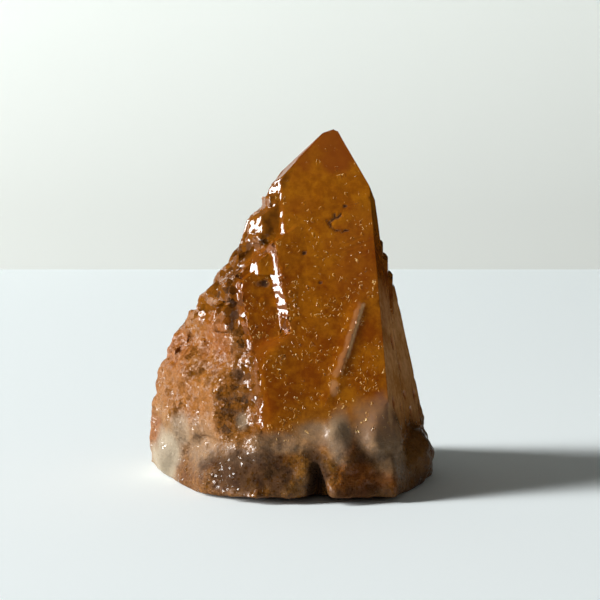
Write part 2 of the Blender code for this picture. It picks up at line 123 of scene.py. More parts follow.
def normals_of(mesh):
    """The way each point of the mesh faces."""
    flat = np.empty(len(mesh.vertices) * 3)
    mesh.vertices.foreach_get("normal", flat)
    return flat.reshape(-1, 3)


def ramp(value, start, end):
    """0 at start, 1 at end and a smooth rise between them."""
    t = np.clip((value - start) / (end - start), 0.0, 1.0)
    return t * t * (3.0 - 2.0 * t)


points = points_of(skin.data)
print("from", points.min(0).round(1), "to", points.max(0).round(1), "mm")

# %% [markdown]
# ## Chance, but the same each time
# Natural relief is irregular. Each cell of an invisible lattice gets a random number
# from its own place, so the same spot gets the same number in every run. `cloud` blends
# those numbers into soft lumps, and `grains` finds the nearest of many scattered seeds,
# which gives rounded grains with creases between them.

# %% Lattice noise
def cell_chance(cells, seed):
    """A number from 0 to 1 for each cell. The large numbers only stir its three counts."""
    mixed = cells[..., 0] * 73856093 ^ cells[..., 1] * 19349663 ^ cells[..., 2] * 83492791
    mixed = mixed ^ (seed * 2654435761)
    mixed = (mixed ^ (mixed >> 13)) * 1274126177
    mixed = (mixed ^ (mixed >> 16)) & 0x7FFFFFFF
    return (mixed % 100003) / 100003.0


def cloud(places, size, seed):
    """Soft lumps about size millimetres across, from 0 to 1."""
    scaled = places / size
    corner = np.floor(scaled).astype(np.int64)
    part = scaled - corner
    part = part * part * (3.0 - 2.0 * part)
    total = np.zeros(len(places))
    for step in np.ndindex(2, 2, 2):
        weight = np.prod(np.where(step, part, 1.0 - part), axis=1)
        total += weight * cell_chance(corner + np.array(step), seed)
    return total


print("chance at one spot:", cloud(np.array([[1.0, 2.0, 3.0]]), 2.0, 1).round(3))

# %% Scattered seeds
# Farther than the nearest seed can be, in cells.
FAR_AWAY = 9.0


def grains(places, size, seed):
    """The distance to the nearest seed, in cells, and that seed's own chance."""
    scaled = places / size
    corner = np.floor(scaled).astype(np.int64)
    nearest = np.full(len(places), FAR_AWAY)
    chance = np.zeros(len(places))
    for step in np.ndindex(3, 3, 3):
        cell = corner + np.array(step) - 1
        seeds = np.stack([cell_chance(cell, seed + k) for k in (1, 2, 3)], axis=1)
        away = np.linalg.norm(cell + seeds - scaled, axis=1)
        nearer = away < nearest
        chance = np.where(nearer, cell_chance(cell, seed + 4), chance)
        nearest = np.where(nearer, away, nearest)
    return nearest, chance


print("nearest seed to one spot:", grains(np.array([[1.0, 2.0, 3.0]]), 2.0, 1)[0].round(3))

# %% [markdown]
# ## Where each kind of surface is
# The big faces are glassy, the left flank is crowded with small stepped crystals, lower
# down that flank is worn and sugary, and the foot is a rough break. Each kind gets a
# mask from 0 to 1, worked out from where a point is and which way it faces, with a wavy
# border so that no border looks drawn.

# %% Borders and directions
# The flank's right border on the front, as height and distance to the right, in mm.
FLANK_EDGE = (
    (70.0, 4.0), (58.0, -1.6), (52.0, -1.2), (49.0, -3.6), (46.0, -6.0), (40.0, -10.2),
    (31.0, -8.6), (26.0, -7.0), (17.6, -5.6), (0.0, -5.6),
)
# The big faces' directions: degrees round from the right, and degrees up.
RIGHT_FACE = (-18, 10.5)
FRONT_FACE = (-92, 19)
WHOLE_FRONT = (-100, 17)


def outward(compass, lean):
    """The direction that a crystal face looks along."""
    a, b = math.radians(compass), math.radians(lean)
    return np.array([math.cos(b) * math.cos(a), math.cos(b) * math.sin(a), math.sin(b)])


def flank_edge(height):
    """How far right the flank reaches at this height, in mm."""
    heights, places = zip(*reversed(FLANK_EDGE))
    return np.interp(height, heights, places)


print("the flank's border 30 mm up is at", flank_edge(30.0).round(1), "mm")

# %% Masks
# Heights and sizes in mm.
BORDER_WAVE = 5.0
WEAR_STARTS, WEAR_FULL = 36.0, 25.0
CLEAN_STRIP_HEIGHT = 21.5
FOOT_HEIGHT = 12.0


def make_masks(places, facing):
    """Each kind of surface as a share from 0 to 1 at every point."""
    x, _, z = places.T
    wavy = cloud(places, BORDER_WAVE, 5) - 0.5
    # The flank is left of its border, faces left or forward, and ends under the tip.
    flank = ramp(flank_edge(z) - x + 1.4 * wavy, -0.3, 1.3) * ramp(facing[:, 0], 0.35, -0.1)
    flank *= 1.0 - ramp(z + x, 52.0, 57.0) * ramp(facing[:, 2], 0.5, 0.6)
    # It is worn lower down, but for a clean upright strip beside the border.
    inward = flank_edge(z) - x + 2.0 * wavy
    from_strip = np.abs(z - CLEAN_STRIP_HEIGHT + 3.0 * wavy)
    clean_strip = ramp(inward, 4.0, 2.5) * ramp(from_strip, 5.5, 4.0)
    worn = flank * ramp(z + 8.0 * wavy, WEAR_STARTS, WEAR_FULL) * (1.0 - 0.8 * clean_strip)
    # The foot's upper border rises and falls, and its colour fades out higher up.
    foot_top = FOOT_HEIGHT + 1.6 * np.sin(x / 5.0 + 0.6) + 0.12 * x + 6.0 * wavy
    foot = ramp(foot_top - z, -3.0, 5.0)
    foot_tint = ramp(foot_top - z + 2.0 * wavy, -5.0, 6.0)
    right = ramp(facing @ outward(*RIGHT_FACE), 0.85, 0.96) * (1.0 - foot)
    front = ramp(facing @ outward(*FRONT_FACE), 0.9, 0.98) * (1.0 - foot) * (1.0 - flank)
    return {
        "flank": flank,
        "worn": worn,
        "foot": foot,
        "foot_tint": foot_tint,
        "right": right,
        "front": front,
    }


masks = make_masks(points, normals_of(skin.data))
print("shares:", {name: round(float(mask.mean()), 3) for name, mask in masks.items()})

# %% [markdown]
# ## Softening
# After they grew, the small crystals were dissolved a little, so their corners are round
# while the large faces stayed sharp. Lower down, and on the break, wear has rounded
# everything more. A Smooth modifier that follows a vertex group rounds only where the
# group says so, and more turns of it reach farther.

# %% Soften the flank and the foot
FLANK_TURNS = 4
WORN_TURNS = 14
# How much even the sharpest edges are rounded.
EDGE_SHARE = 0.1
# A vertex group takes one weight at a time, so weights go in tenths.
GROUP_STEPS = 10


def soften(part, name, share, turns):
    """Rounds the part where share is above 0."""
    group = part.vertex_groups.new(name=name)
    for step in range(1, GROUP_STEPS + 1):
        near = np.nonzero(np.rint(share * GROUP_STEPS) == step)[0]
        group.add(near.tolist(), step / GROUP_STEPS, "REPLACE")
    smooth = part.modifiers.new(name, "SMOOTH")
    smooth.vertex_group = name
    smooth.factor = 0.5
    smooth.iterations = turns
    applied(part)


worn_foot = np.clip(masks["worn"] + masks["foot"], 0.0, 1.0)
steps_share = np.clip(EDGE_SHARE + masks["flank"] + worn_foot, 0.0, 1.0)
soften(skin, "rounded steps", steps_share, FLANK_TURNS)
soften(skin, "worn away", worn_foot, WORN_TURNS)
print("softened the flank and the foot")

# %% [markdown]
# ## Melted edges
# A raised step on the front should look grown into the face, and not laid on it, so the
# solid's hard edges there are melted with many more turns. The foot's milky corner and
# its dark hollow are smoothed in the same way. Each place is a line drawn on the front.
# A point's distance to the line says how much it melts.

# %% Melt some edges
MELTED_TURNS = 60
NO_LINE_NEAR = 99.0
# A line, seen from the front in mm, then the distances from it where melting starts and
# where it is full.
MELTED = {
    "step's lower edge": (((3.0, 29.0), (-5.5, 25.5), (-7.0, 24.0), (-5.2, 10.0)), 4.2, 2.2),
    "front's lower edge": (((4.0, 13.0), (17.5, 14.5)), 4.2, 2.2),
    "slender bar": (((13.8, 36.2), (9.0, 23.0), (8.4, 19.5)), 3.4, 2.2),
    "milky corner": (((-27.0, 3.0), (-24.0, 9.0)), 5.0, 3.0),
    "dark hollow": (((-12.6, 9.0), (-9.5, 5.0)), 4.0, 2.4),
}


def to_line(places, line):
    """Distance in mm to a line through the given points, as seen from the front."""
    flat = places[:, [0, 2]]
    nearest = np.full(len(flat), NO_LINE_NEAR)
    for start, end in zip(line, line[1:]):
        start, along = np.array(start), np.subtract(end, start)
        share = np.clip((flat - start) @ along / (along @ along), 0.0, 1.0)
        away = np.linalg.norm(flat - start - share[:, None] * along, axis=1)
        nearest = np.minimum(nearest, away)
    return nearest


melted = np.zeros(len(points))
for line, starts, full in MELTED.values():
    melted = np.maximum(melted, ramp(to_line(points, line), starts, full))
near_front = ramp(points[:, 1], 5.0, 2.0)
soften(skin, "melted", melted * near_front, MELTED_TURNS)
points = points_of(skin.data)
facing = normals_of(skin.data)
print("melted", int((melted * near_front > 0.5).sum()), "points")

# %% [markdown]
# ## What shows inside, and painted shade
# Milky veils, rusty patches and dark brown patches lie just under the surface. Dark
# patches also stand in the foot's deep notch and in two holes on the flank, and there
# their dark is painted shade. Each is a soft ellipsoid with a ragged border, stored on
# the skin as a number from 0 to 1 that the finish mixes colours by. They come before the
# relief, because the milky parts broke smoother than the rest.

# %% Stains and veils
# Each is a centre and three radii in mm, and a strength.
MILKY = (
    (-26.4, -4.0, 2.6, 3.6, 16.0, 4.4, 0.95),
    (-24.4, -5.0, 6.4, 3.0, 16.0, 4.2, 0.9),
    (-21.8, -7.4, 10.6, 2.4, 14.0, 3.4, 0.5),
    (-17.4, -11.0, 9.0, 5.0, 6.0, 6.0, 0.25),
    (-9.6, -19.0, 8.8, 7.0, 5.0, 2.0, 0.2),
    (-1.6, -20.0, 11.0, 8.0, 5.0, 2.0, 0.3),
    (4.6, -19.0, 12.8, 4.6, 5.0, 2.4, 0.4),
    (9.0, -19.6, 12.4, 2.6, 5.0, 5.0, 0.55),
    (16.8, -18.6, 13.6, 5.4, 6.0, 6.0, 0.42),
    (19.4, -18.0, 8.6, 4.4, 6.0, 5.0, 0.3),
    (-9.5, -16.0, 14.2, 1.3, 3.0, 1.7, 0.55),
)
# The first is the foot's deep notch and the fifth and sixth are two holes on the flank: their dark
# is painted shade. The rest are dark brown stone.
DARK_AND_SHADE = (
    (4.6, -22.0, 4.2, 2.2, 6.0, 6.4, 1.0),
    (-11.5, -19.0, 5.6, 6.5, 9.0, 4.2, 0.85),
    (-4.6, -22.5, 6.0, 5.4, 8.0, 3.8, 0.8),
    (13.0, -22.5, 1.2, 9.0, 6.0, 2.6, 0.6),
    (-10.3, -12.5, 22.6, 1.5, 3.0, 1.4, 0.7),
    (-5.4, -9.0, 39.9, 1.6, 2.0, 0.9, 0.8),
    (15.0, -21.0, 8.4, 4.0, 5.0, 1.3, 0.45),
)
RUSTY = (
    (-28.4, 2.0, 8.0, 2.4, 6.0, 6.0, 0.35),
    (17.9, -7.0, 35.0, 1.5, 6.0, 8.0, 0.35),
    (15.6, -3.0, 50.0, 2.0, 6.0, 6.0, 0.3),
    (-14.0, -4.0, 29.0, 5.0, 7.0, 6.0, 0.28),
    (-23.0, 0.0, 26.0, 4.0, 6.0, 5.0, 0.25),
    (8.0, -1.0, 67.5, 6.5, 6.0, 7.0, 0.8),
    (13.0, -22.5, 4.4, 6.0, 5.0, 3.4, 0.35),
    (12.5, -9.0, 46.0, 4.6, 8.0, 9.0, 0.42),
    (1.5, -9.0, 56.0, 3.0, 8.0, 7.0, 0.3),
    (-4.0, -14.0, 31.0, 4.0, 8.0, 4.0, 0.22),
)
print(len(MILKY), "milky,", len(DARK_AND_SHADE), "dark and", len(RUSTY), "rusty patches")

# %% Lay the stains on the skin
SOFT_BORDER = 0.28
TORN_BORDER = 0.8
# A patch fades from its middle part to a little outside its surface, which is at 1.
FADE_STARTS, FADE_ENDS = 0.55, 1.35


def patches(places, spots, ragged, seed):
    """Soft ellipsoids, with a border as ragged as asked."""
    edge = ragged * (cloud(places, 2.5, seed) + 0.5 * cloud(places, 1.1, seed + 1) - 0.75)
    total = np.zeros(len(places))
    for x, y, z, rx, ry, rz, strength in spots:
        reach = np.linalg.norm((places - (x, y, z)) / (rx, ry, rz), axis=1)
        total = np.maximum(total, strength * ramp(reach + edge, FADE_ENDS, FADE_STARTS))
    return total


milky = patches(points, MILKY, SOFT_BORDER, 71)
dark = patches(points, DARK_AND_SHADE, TORN_BORDER, 73)
rusty = patches(points, RUSTY, TORN_BORDER, 75)
print("milky", round(float(milky.mean()), 3), "dark", round(float(dark.mean()), 3))

# %% [markdown]
# ## Relief
# Each surface gets its own relief, pushed out along the way each point faces. The flank
# has low rounded lumps, the worn part has level ledges and lumps, and the foot is lumpy,
# but less so where it is milky or dark. The glassy faces only undulate, which breaks up
# what they mirror. Anything finer than the net, such as growth hillocks and sugar, is
# left to the finish.

# %% Relief for each surface
def rounded(near):
    """A round grain from the distance to its seed, from 0 to 1."""
    return 1.0 - np.clip(near / 0.9, 0.0, 1.0) ** 2


def lumps(places, size, seed):
    """Round grains of this size in mm, side by side."""
    return rounded(grains(places, size, seed)[0])


def flank_lumps(places):
    """Rounded growth steps in two sizes, along slanted rows."""
    slanted = places * np.array([1.0, 1.0, 1.4]) + 0.35 * places[:, [2, 0, 1]]
    return 0.6 * lumps(slanted, 2.4, 21) + 0.4 * lumps(slanted, 1.2, 31)


def worn_ledges(places):
    """Level ledges, twice as long as they are tall, and small lumps."""
    level = places * np.array([0.5, 0.5, 1.0])
    return 0.7 * lumps(level, 3.2, 33) + 0.3 * lumps(places, 1.5, 34)


def broken_foot(places):
    """Lumps in two sizes with creases between them, and a fine unevenness."""
    large_and_small = 0.5 * lumps(places, 4.2, 41) + 0.3 * lumps(places, 1.8, 43)
    return large_and_small + 0.2 * cloud(places, 0.9, 51)


def undulation(places):
    """The slow waves of a natural crystal face."""
    return 0.7 * cloud(places, 3.2, 61) + 0.3 * cloud(places, 1.5, 62)


print("a grain is", rounded(0.0), "high at its seed and", rounded(0.9), "at its rim")

# %% Add the relief up
# The height of each relief from its lowest to its highest, in mm.
FLANK_RELIEF = 0.42
WORN_RELIEF = 1.0
FOOT_RELIEF = 0.9
GLASSY_RELIEF = 0.12

off_foot = 1.0 - masks["foot"]
clear_part = 1.0 - milky
upper_flank = (masks["flank"] - masks["worn"]) * off_foot
worn_flank = masks["worn"] * off_foot * clear_part
rough_foot = masks["foot"] * clear_part * (1.0 - 0.85 * dark)
glassy = (1.0 - masks["flank"]) * off_foot
height = (
    FLANK_RELIEF * upper_flank * (flank_lumps(points) - 0.5)
    + WORN_RELIEF * worn_flank * (worn_ledges(points) - 0.5)
    + FOOT_RELIEF * rough_foot * (broken_foot(points) - 0.5)
    + GLASSY_RELIEF * glassy * (undulation(points) - 0.5)
)
print("broad relief from", height.min().round(2), "to", height.max().round(2), "mm")

# %% [markdown]
# ## Marks on the front
# The large front face carries a few marks that the eye picks out: ripples across the
# bright left step, fine terraces near the right edge, a short curved crack with spurs,
# dark specks that are small dents with painted shade in them, and a slender bar with an
# oval below it. Each is worked out from its distance, in millimetres, to a line or a
# spot on the face, so it can be moved by changing a number. All places are distances to
# the right and up, as seen from the front.

# %% Lines and spots on the front
CRACK = (
    (9.5, 53.0), (9.1, 52.6), (8.4, 52.4), (8.2, 53.2), (8.4, 52.4), (7.3, 51.6), (6.8, 51.9),
    (7.3, 51.6), (7.8, 50.6), (8.8, 50.0), (9.8, 49.9), (11.0, 50.2),
)
BAR = ((13.1, 36.0), (9.4, 25.2), (8.6, 23.4))
# The line of the painted highlight along the bar's right edge.
BAR_RIM = ((13.8, 36.2), (10.7, 26.6))
# Ovals: their middle, then how far they reach sideways and up.
OVAL = (8.1, 20.9, 1.05, 1.75)
STEP_RIPPLES = (-2.0, 35.5, 4.0, 5.5)
TERRACES = (12.6, 47.2, 4.6, 2.6)
# Round specks: their middle and radius.
# Dark specks: each is a small dent, darkened with painted shade.
SHADED_DENTS = ((10.4, 54.7, 0.35), (2.4, 45.8, 0.45), (5.5, 40.2, 0.3), (-5.2, 39.9, 0.9))
print("the crack is a line through", len(CRACK), "points")

# %% Draw the marks
def in_spot(places, spot, seed=81, ragged=0.3):
    """1 in the middle of an upright oval, 0 outside."""
    x, z, across, upward = spot
    away = np.hypot((places[:, 0] - x) / across, (places[:, 2] - z) / upward)
    return ramp(away + ragged * (cloud(places, 1.2, seed) - 0.5), 1.0, 0.6)


on_front = ramp(facing @ outward(*WHOLE_FRONT), 0.7, 0.85)
crack = on_front * ramp(to_line(points, CRACK) + 0.3 * cloud(points, 0.7, 91), 0.46, 0.2)
# The bar's pale pinkish colour is partly veil and partly painted sheen, and its rim is a painted
# highlight.
bar = on_front * ramp(to_line(points, BAR) + 0.5 * cloud(points, 1.0, 92), 0.95, 0.6)
bar_rim_highlight = on_front * 0.6 * ramp(to_line(points, BAR_RIM), 0.45, 0.1)
oval = on_front * in_spot(points, OVAL)
shaded_dents = np.zeros(len(points))
for x, z, radius in SHADED_DENTS:
    spot = on_front * in_spot(points, (x, z, radius, radius))
    shaded_dents = np.maximum(shaded_dents, spot)
print("crack covers", int((crack > 0.5).sum()), "points, bar", int((bar > 0.5).sum()))

# %% Ripples and terraces
RIPPLE_PITCH = 2.1
TERRACE_PITCH = 1.0
RIPPLE_HEIGHT = 0.07
TERRACE_HEIGHT = 0.04
CRACK_DEPTH = 0.2
SPECK_DEPTH = 0.15

bent = points[:, 2] + 3.0 * cloud(points, 2.2, 93) + 1.2 * cloud(points, 0.9, 98)
ripples = in_spot(points, STEP_RIPPLES, ragged=0.8) * np.sin(bent * 2 * np.pi / RIPPLE_PITCH)
bent = points[:, 2] - 0.3 * points[:, 0] + 0.5 * cloud(points, 3.0, 94)
terraces = on_front * in_spot(points, TERRACES, ragged=0.6)
terraces = terraces * np.sin(bent * 2 * np.pi / TERRACE_PITCH)
height += RIPPLE_HEIGHT * ripples + TERRACE_HEIGHT * terraces
height -= CRACK_DEPTH * crack + SPECK_DEPTH * shaded_dents
print("ripples add", round(RIPPLE_HEIGHT * float(ripples.max()), 3), "mm at most")

# %% [markdown]
# ## Pits
# Solution pits dot the right face, most of them low down. They are ovals that point down
# the face, taken from the same scattered seeds as the grains. With them the relief is
# whole, and the points move. Those on the table stay on it.

# %% Pits, and the points move
PIT_CELL = 2.8
PIT_DEPTH = 0.35


def pits_in(places):
    """1 in a pit, 0 beside it."""
    upright = places * np.array([1.0, 1.0, 0.6])
    near, chance = grains(upright, PIT_CELL, 95)
    wanted = 0.15 + 0.5 * ramp(places[:, 2], 24.0, 12.0)
    return ramp(near + 0.25 * cloud(places, 1.0, 96), 0.5, 0.3) * (chance < wanted)


pits = masks["right"] * pits_in(points)
height -= PIT_DEPTH * pits
off_table = ramp(points[:, 2], 0.0, 1.0)
points = points + facing * (height * off_table)[:, None]
points[:, 2] = np.maximum(points[:, 2], 0.0)
skin.data.vertices.foreach_set("co", (points * MM).ravel())
skin.data.update()
print("pits cover", round(float(pits.mean()) * 100, 2), "% of the skin")

# %% [markdown]
# ## Tilted steps
# Down the middle of the flank, and along the bright left step, the stone is a crowd of
# tiny faces that each lean their own way. One of them mirrors the window and the next
# stays dark, and that is what makes the flank glitter. The finish draws them. Here the
# skin only gets a share from 0 to 1 that says how strong they are: full on the flank's
# upper line, nearly so down its middle and along the step, and gone on the foot.

# %% Where the tilted steps are
# Each is a line, the distances from it where the share starts and is full, and a weight.
STEP_LINES = (
    (((-2.6, 47.0), (-1.3, 40.0)), 1.1, 0.6),
    (((-0.9, 32.6), (-0.4, 28.0)), 2.2, 1.2),
    (((-11.0, 39.8), (-9.0, 28.4)), 2.0, 1.0),
)
UPPER_LINE = ((-13.0, 44.9), (-5.0, 46.9))

strip = np.zeros(len(points))
for line, starts, full in STEP_LINES:
    strip = np.maximum(strip, ramp(to_line(points, line), starts, full))
upper = ramp(to_line(points, UPPER_LINE) + cloud(points, 1.5, 97), 2.6, 1.6)
middle = masks["flank"] * ramp(points[:, 2] + 4.0 * cloud(points, 3.0, 99), 52.0, 47.0)
tilted = np.maximum(np.maximum(upper, 0.8 * strip), 0.9 * middle)
tilted *= (1.0 - masks["front"]) * (1.0 - 0.55 * masks["worn"]) * off_foot * clear_part
print("tilted steps cover", round(float((tilted > 0.5).mean()) * 100, 1), "% of the skin")

# %% [markdown]
# ## Keep the shares on the skin
# A finish can't run Python, but it can read numbers that are stored on the points. Each
# mask, stain and mark is kept there as a named attribute, which the finish looks up.

# %% The last shares
height_up = points[:, 2]
low_right = ramp(height_up + 0.3 * points[:, 1], 40.0, 34.0)
# Faces that turn left, towards the window, get painted shade that darkens them.
turned = ramp(-facing[:, 0], 0.12, 0.5) * (1.0 - masks["flank"]) * off_foot
golden = np.interp(height_up, (10, 25, 45, 60, 69), (0.02, -0.03, -0.03, 0.36, 0.12))
hillocks = 0.3 + 0.42 * ramp(height_up, 48.0, 32.0)
hillocks *= ramp(cloud(points, 3.0, 87), 0.1, 0.75)
hillocks = masks["front"] * (hillocks + 0.8 * np.clip(terraces, 0.0, 1.0))
print("hillocks on up to", round(float(hillocks.max()), 2), "of the cells")

# %% Store the shares
# Some shares carry painted light: the window-side share darkens faces that turn to the window, the
# dark share holds painted shade in the notch, holes and dents, the veil share holds the bar's
# painted sheen, and the rim share is a painted highlight.
shares = {
    "flank": masks["flank"],
    "worn": masks["worn"],
    "foot": masks["foot"],
    "foot_tint": masks["foot_tint"],
    "right": masks["right"] * low_right,
    "milky": milky,
    "dark": np.maximum(dark, np.maximum(crack, shaded_dents)),
    "turned": turned,
    "rusty": np.maximum(rusty, 0.9 * pits),
    "veiled": np.maximum(0.38 * bar, 0.6 * oval),
    "bright_rim": bar_rim_highlight,
    "tilted": tilted,
    "far": ramp(flank_edge(height_up) - points[:, 0], 0.0, 11.0),
    "pale": masks["worn"] * ramp(height_up + 0.5 * points[:, 0], 6.0, -6.0),
    "golden": golden,
    "hillocks": hillocks,
}
for name, values in shares.items():
    layer = skin.data.attributes.new(name, "FLOAT", "POINT")
    layer.data.foreach_set("value", values.astype(np.float32))
print("stored:", ", ".join(shares))

# %% [markdown]
# ## Smooth or crisp
# With smooth shading the small relief reads as rounded stone. Edges that turn by more
# than 40 degrees stay crisp, so crystal edges still catch a thin line of light.

# %% Shade
CRISP_ANGLE = math.radians(40.0)
for face in skin.data.polygons:
    face.use_smooth = True
skin.data.set_sharp_from_angle(angle=CRISP_ANGLE)
print("shaded smooth, crisp over 40 degrees")

# %% [markdown]
# ## Adding nodes
# A finish is a tree of shader nodes. This function adds a node, sets it up and links it
# in one go. Its settings come first. Plain values fill the inputs that the node shows, in
# order, and named ones go to the input of that name. An input may be given another node,
# and is then linked to the first output that the node shows.

# %% The node function
def add_node(tree, kind, settings, *values, **named):
    """Adds a node; a name like Base_Color means the input Base Color."""
    node = tree.nodes.new("ShaderNode" + kind)
    for name, setting in settings.items():
        setattr(node, name, setting)
    shown = [socket for socket in node.inputs if socket.enabled]
    wanted = list(zip(shown, values))
    wanted += [(node.inputs[name.replace("_", " ")], value) for name, value in named.items()]
    for socket, value in wanted:
        if isinstance(value, bpy.types.Node):
            value = next(output for output in value.outputs if output.enabled)
        if isinstance(value, bpy.types.NodeSocket):
            tree.links.new(value, socket)
        else:
            socket.default_value = value
    return node


def new_finish(name):
    """An empty material and its tree."""
    made = bpy.data.materials.new(name)
    made.use_nodes = True
    made.node_tree.nodes.clear()
    return made, made.node_tree


print("node function ready")

# %% [markdown]
# ## Honey calcite
# Calcite is clear, with an index of refraction near 1.6. This one holds so much iron and
# so many tiny bubbles that light gets only some way in: a small share of transmission
# over a coloured body, and an inside that swallows blue light first. Its natural faces
# are nearly polished, its worn flank is silky, and the break is dull and sugary.
#
# The finish starts with what its later parts share: the stored numbers, the place of
# each spot, and two noises. The slow one is the veil of the body's colour, lighter here
# and darker there over 8 mm, and the quick one is flecks of about a millimetre.

# %% Start the finish
PLAIN = {}
ADD = {"operation": "ADD"}
SUBTRACT = {"operation": "SUBTRACT"}
MULTIPLY = {"operation": "MULTIPLY"}
DIVIDE = {"operation": "DIVIDE"}
LARGER = {"operation": "MAXIMUM"}
DOT = {"operation": "DOT_PRODUCT"}
VEIL_SIZE = 8.0 * MM
FLECK_SIZE = 1.3 * MM

stone, stone_tree = new_finish("honey calcite, natural faces")
add = partial(add_node, stone_tree)
stored = {n: add("Attribute", {"attribute_name": n}).outputs["Fac"] for n in shares}
place = add("TexCoord", PLAIN).outputs["Object"]
veil = add("TexNoise", PLAIN, Vector=place, Scale=1 / VEIL_SIZE, Detail=5.0, Roughness=0.6)
fleck = add("TexNoise", PLAIN, Vector=place, Scale=1 / FLECK_SIZE, Detail=5.0, Roughness=0.65)
some_veil = add("Math", MULTIPLY, veil, 0.65)
some_fleck = add("Math", MULTIPLY, fleck, 0.35)
veil_share = add("MapRange", PLAIN, add("Math", ADD, some_veil, some_fleck), 0.4, 0.6)
fleck_share = add("MapRange", PLAIN, fleck, 0.36, 0.64)
print("finish started with", len(stone_tree.nodes), "nodes")

# %% [markdown]
# ## Growth hillocks
# The front face grew in tiny hillocks that catch the light as short golden dashes and
# arcs. Those that the eye can tell apart are 0.2 to 0.8 mm across, so the pattern's cells
# are 0.85 mm. Real ones get finer still, and the finest here are drawn at 0.2 mm, as
# coarse as they need to be to show. A Voronoi pattern, flat on the front's plane, gives
# each a seed and three random numbers: one sets its radius, one says whether it grew at
# all, and one turns its lit side. A little noise bends the pattern, because round dots
# would look like bubbles.

# %% Seeds of the hillocks
HILLOCK_CELL = 0.85 * MM
BEND_SIZE = 0.7 * MM
BEND_REACH = 1.6 * MM
# A random colour of this value leans no way.
MIDDLE = (0.5, 0.5, 0.5)

apart = add("SeparateXYZ", PLAIN, place)
upright = add("CombineXYZ", PLAIN, apart.outputs["X"], apart.outputs["Z"])
uneven = add("TexNoise", PLAIN, Vector=place, Scale=1 / BEND_SIZE, Detail=1.0)
bend = add("VectorMath", SUBTRACT, uneven.outputs["Color"], MIDDLE)
bend = add("VectorMath", {"operation": "SCALE"}, bend, BEND_REACH)
on_plane = add("VectorMath", ADD, upright, bend)
flat = {"voronoi_dimensions": "2D"}
seeds = add("TexVoronoi", flat, Vector=on_plane, Scale=1 / HILLOCK_CELL)
dice = add("SeparateColor", PLAIN, seeds.outputs["Color"])
radius = add("MapRange", PLAIN, dice.outputs["Red"], 0.0, 1.0, 0.12, 0.5)
grown = add("Math", {"operation": "LESS_THAN"}, dice.outputs["Green"], stored["hillocks"])
turn = dice.outputs["Blue"]
print("hillocks in cells of", HILLOCK_CELL / MM, "mm")

# %% [markdown]
# A hillock's cap is a round dome, highest at the seed. Its lit rim is a ring near the
# edge, kept only on the side that faces the light, so it reads as an arc. The rim is
# painted, because a cap this small often tilts past the window and mirrors nothing.

# %% Caps and lit rims
share = add("Math", DIVIDE, seeds.outputs["Distance"], radius)
dome = add("Math", SUBTRACT, 1.0, add("Math", MULTIPLY, share, share))
dome = add("Math", MULTIPLY, add("Math", LARGER, dome, 0.0), radius)
cap = add("Math", MULTIPLY, dome, grown)

from_seed = add("VectorMath", SUBTRACT, on_plane, seeds.outputs["Position"])
lit_right = add("MapRange", PLAIN, turn, 0.0, 1.0, -1.0, -0.4)
lit_up = add("MapRange", PLAIN, turn, 0.0, 1.0, 0.1, 1.0)
towards_light = add("VectorMath", DOT, from_seed, add("CombineXYZ", PLAIN, lit_right, lit_up))
lit = add("Math", DIVIDE, add("Math", DIVIDE, towards_light, HILLOCK_CELL), radius)
lit_side = add("Math", MULTIPLY, add("MapRange", PLAIN, lit, 0.3, 0.7), grown)
off_ring = add("Math", {"operation": "ABSOLUTE"}, add("Math", SUBTRACT, share, 0.8))
glint_rim = add("Math", MULTIPLY, add("MapRange", PLAIN, off_ring, 0.22, 0.08), lit_side)
print("caps and rims drawn")

# %% [markdown]
# ## The body's colour
# The colours go from the broad surfaces to the small ones. The honey of the big faces
# follows the veil and is lightest high up, faces that turn left, towards the window, are
# darkened with painted shade, the flank goes from brown to tan, the right face is tan,
# and the foot is brown and dull. Flecks then lighten and darken all of it a little.

# %% Broad colours
DEEP_HONEY = "#874103"
# Painted shade for the faces that turn towards the window.
WINDOW_SIDE_SHADE_HONEY = "#743d05"
FLANK_NEAR = "#6c3c08"
FLANK_FAR = "#824c0a"
FLANK_PALE = "#9a7448"
RIGHT_TAN = "#e6a468"
RIGHT_BROWN = "#c4803c"
BREAK_PALE = "#7e5320"
BREAK_DARK = "#5e3405"
BLEND = {"data_type": "RGBA"}

honey_share = add("Math", ADD, add("Math", MULTIPLY, veil_share, 0.6), stored["golden"])
worn_veil = add("Math", MULTIPLY, stored["worn"], veil_share)
pale = add("Math", LARGER, stored["pale"], add("Math", MULTIPLY, worn_veil, 0.15))
side = add("Mix", BLEND, stored["far"], colour(FLANK_NEAR), colour(FLANK_FAR))
side = add("Mix", BLEND, pale, side, colour(FLANK_PALE))
tan = add("Mix", BLEND, veil_share, colour(RIGHT_BROWN), colour(RIGHT_TAN))
broken = add("Mix", BLEND, veil_share, colour(BREAK_DARK), colour(BREAK_PALE))
body = add("Mix", BLEND, honey_share, colour(DEEP_HONEY), colour(HONEY))
for name, paint in (
    ("turned", colour(WINDOW_SIDE_SHADE_HONEY)),
    ("flank", side),
    ("right", tan),
    ("foot_tint", broken),
):
    body = add("Mix", BLEND, stored[name], body, paint)

lightness = add("MapRange", PLAIN, fleck_share, 0.0, 1.0, 0.74, 1.22)
flecked = add("HueSaturation", PLAIN, Value=lightness, Color=body)
some_flank = add("Math", MULTIPLY, stored["flank"], 0.45)
some_foot = add("Math", MULTIPLY, stored["foot"], 0.5)
fleck_strength = add("Math", LARGER, some_flank, add("Math", LARGER, some_foot, 0.35))
body = add("Mix", BLEND, fleck_strength, body, flecked)
print("broad colours mixed")

